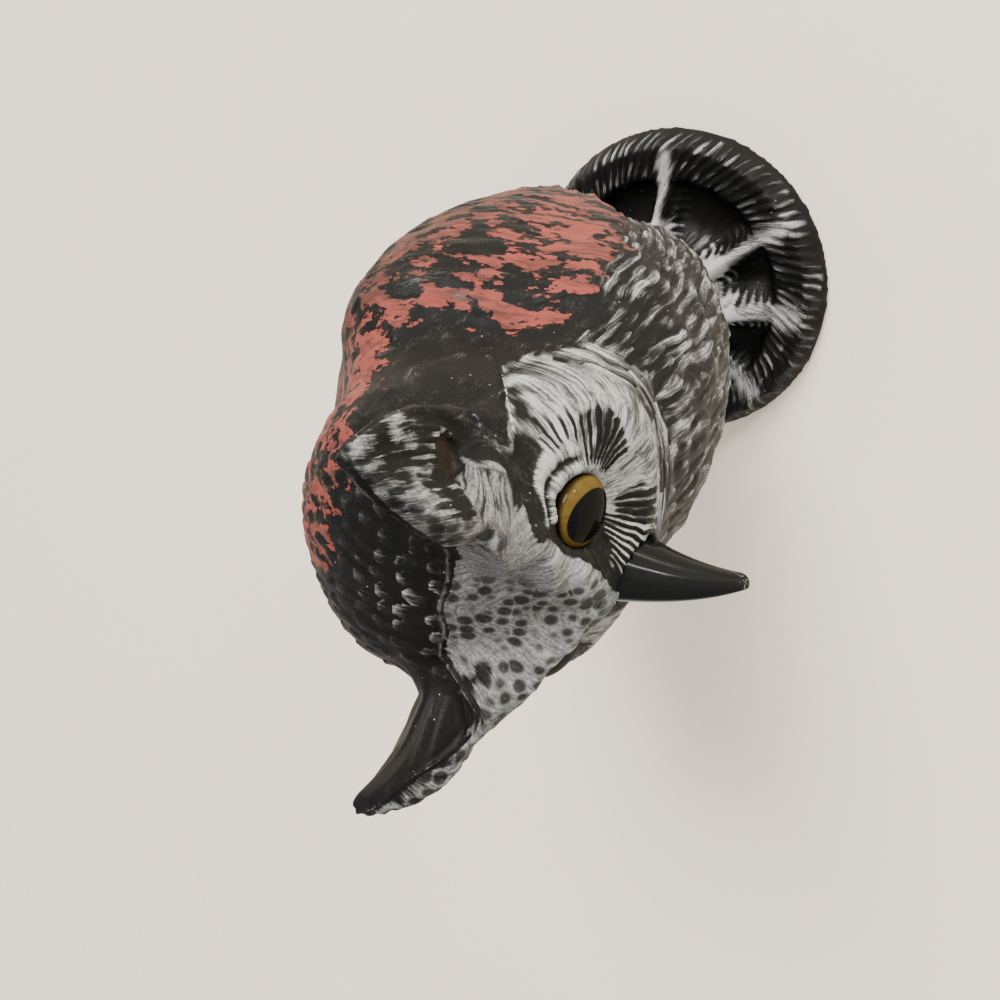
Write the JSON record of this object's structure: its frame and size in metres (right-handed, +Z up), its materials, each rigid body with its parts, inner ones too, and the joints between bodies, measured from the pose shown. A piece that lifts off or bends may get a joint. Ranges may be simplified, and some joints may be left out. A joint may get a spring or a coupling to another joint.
{
  "type": "owl decoy",
  "caption": "Hollow moulded horned-owl decoy with ear tufts, glassy eyes and a hooked beak, standing on a round bark-textured stump base.",
  "frame": {"origin": "middle of the round base's flat underside", "axes": "+Z up, -Y the way the owl faces, +X the owl's left side"},
  "size_m": [0.184, 0.2239, 0.3491],
  "materials": {
    "painted_shell": "matt black moulded plastic, dry-brushed grey-white in front and coral red behind",
    "beak": "glossy black moulded plastic",
    "eye": "clear glossy dome over an amber iris and a black pupil"
  },
  "bodies": {
    "root": {"owl_body": "painted_shell", "beak": "beak", "left_eye": "eye", "right_eye": "eye"}
  },
  "joints": []
}
